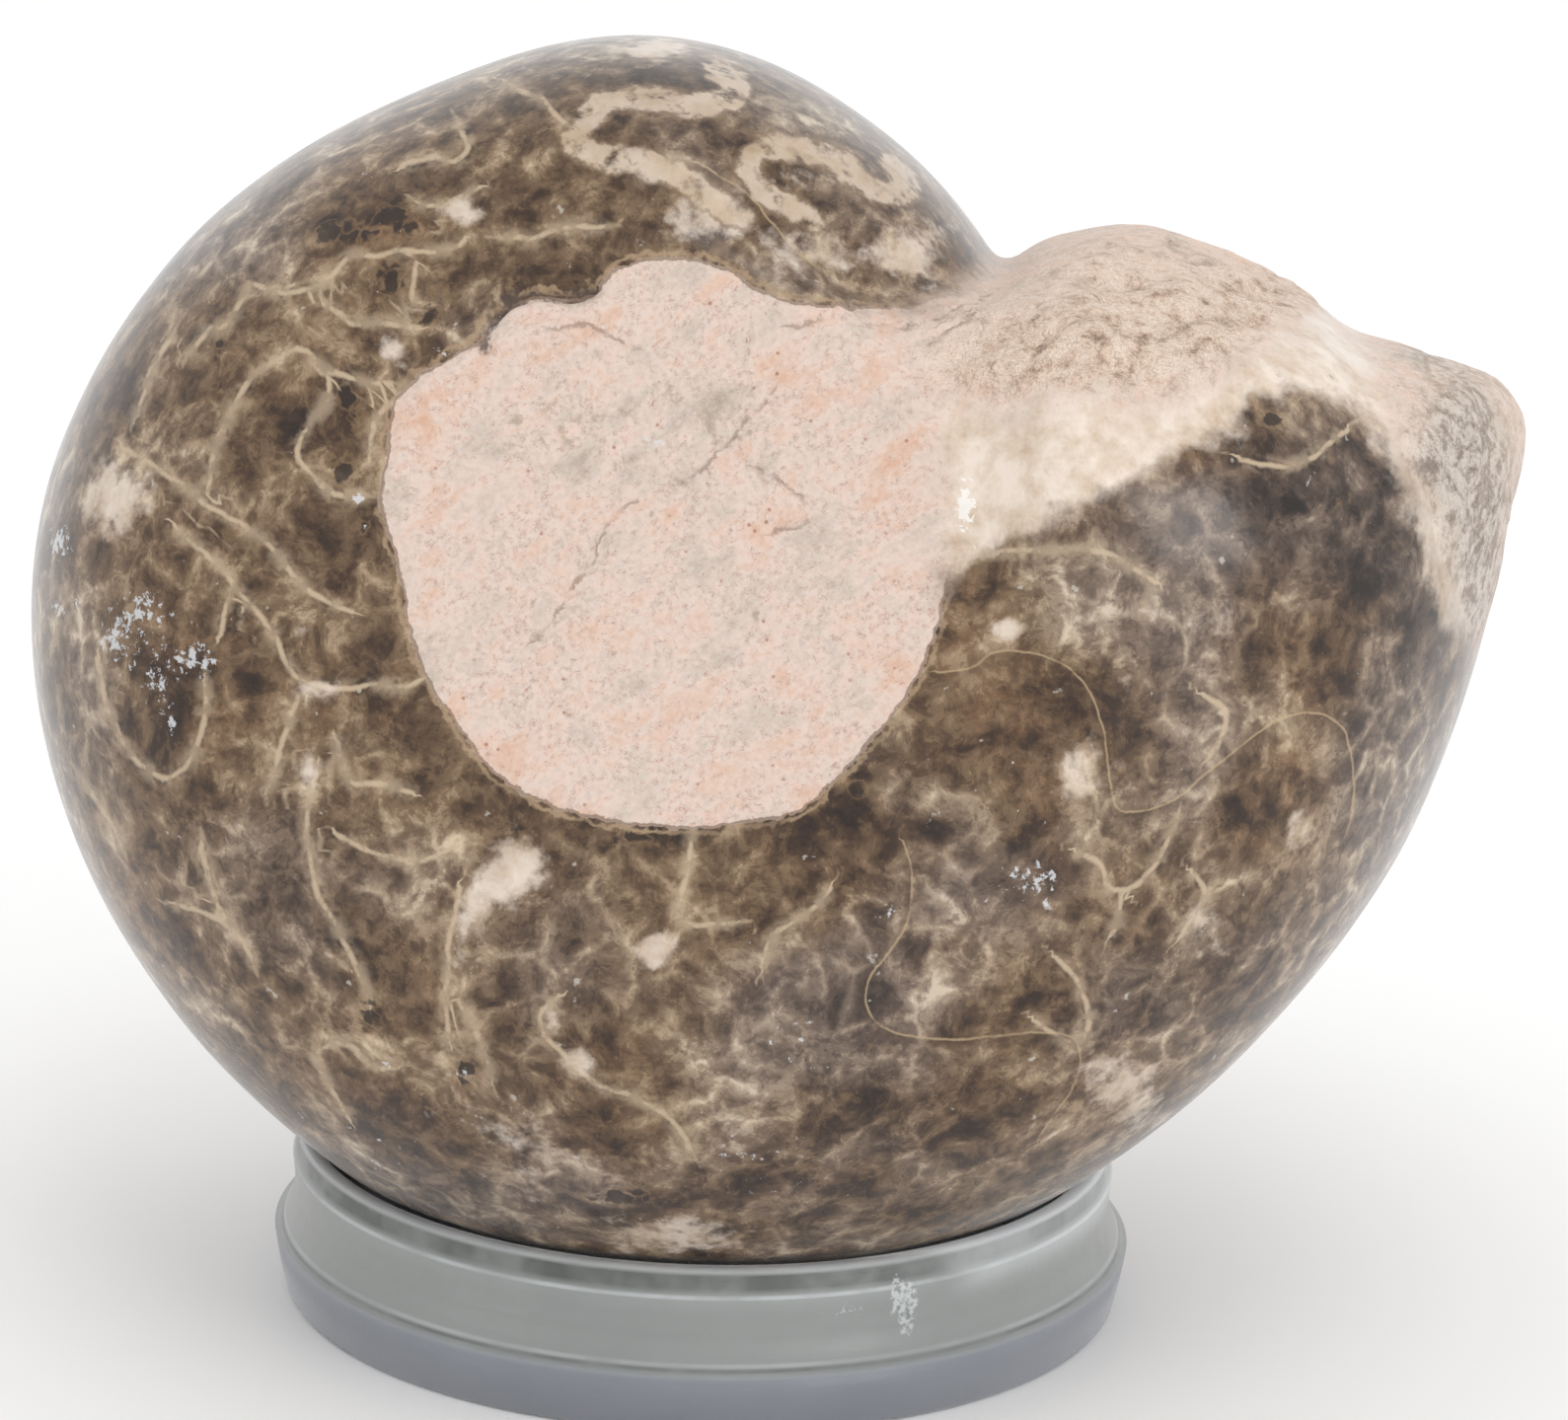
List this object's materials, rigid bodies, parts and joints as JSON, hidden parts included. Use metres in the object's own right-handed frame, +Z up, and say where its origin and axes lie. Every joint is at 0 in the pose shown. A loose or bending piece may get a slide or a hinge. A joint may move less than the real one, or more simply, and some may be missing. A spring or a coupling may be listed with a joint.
{
  "type": "vascoceras ammonite fossil",
  "caption": "Polished globose ammonite fossil with a limestone-filled umbilicus and broken last whorl, shown resting in a frosted ring stand",
  "frame": {"origin": "centre of the bounding box on the surface that the ring stand stands on", "axes": "+X across the coil towards the last whorl, +Y away from the front of the fossil, +Z up"},
  "size_m": [0.085, 0.0658, 0.0739],
  "materials": {
    "fossil_stone": "polished brown calcite with satin pale limestone matrix",
    "frosted_plastic": "frosted translucent"
  },
  "bodies": {
    "root": {"ammonite": "fossil_stone", "ring_stand": "frosted_plastic"}
  },
  "joints": []
}
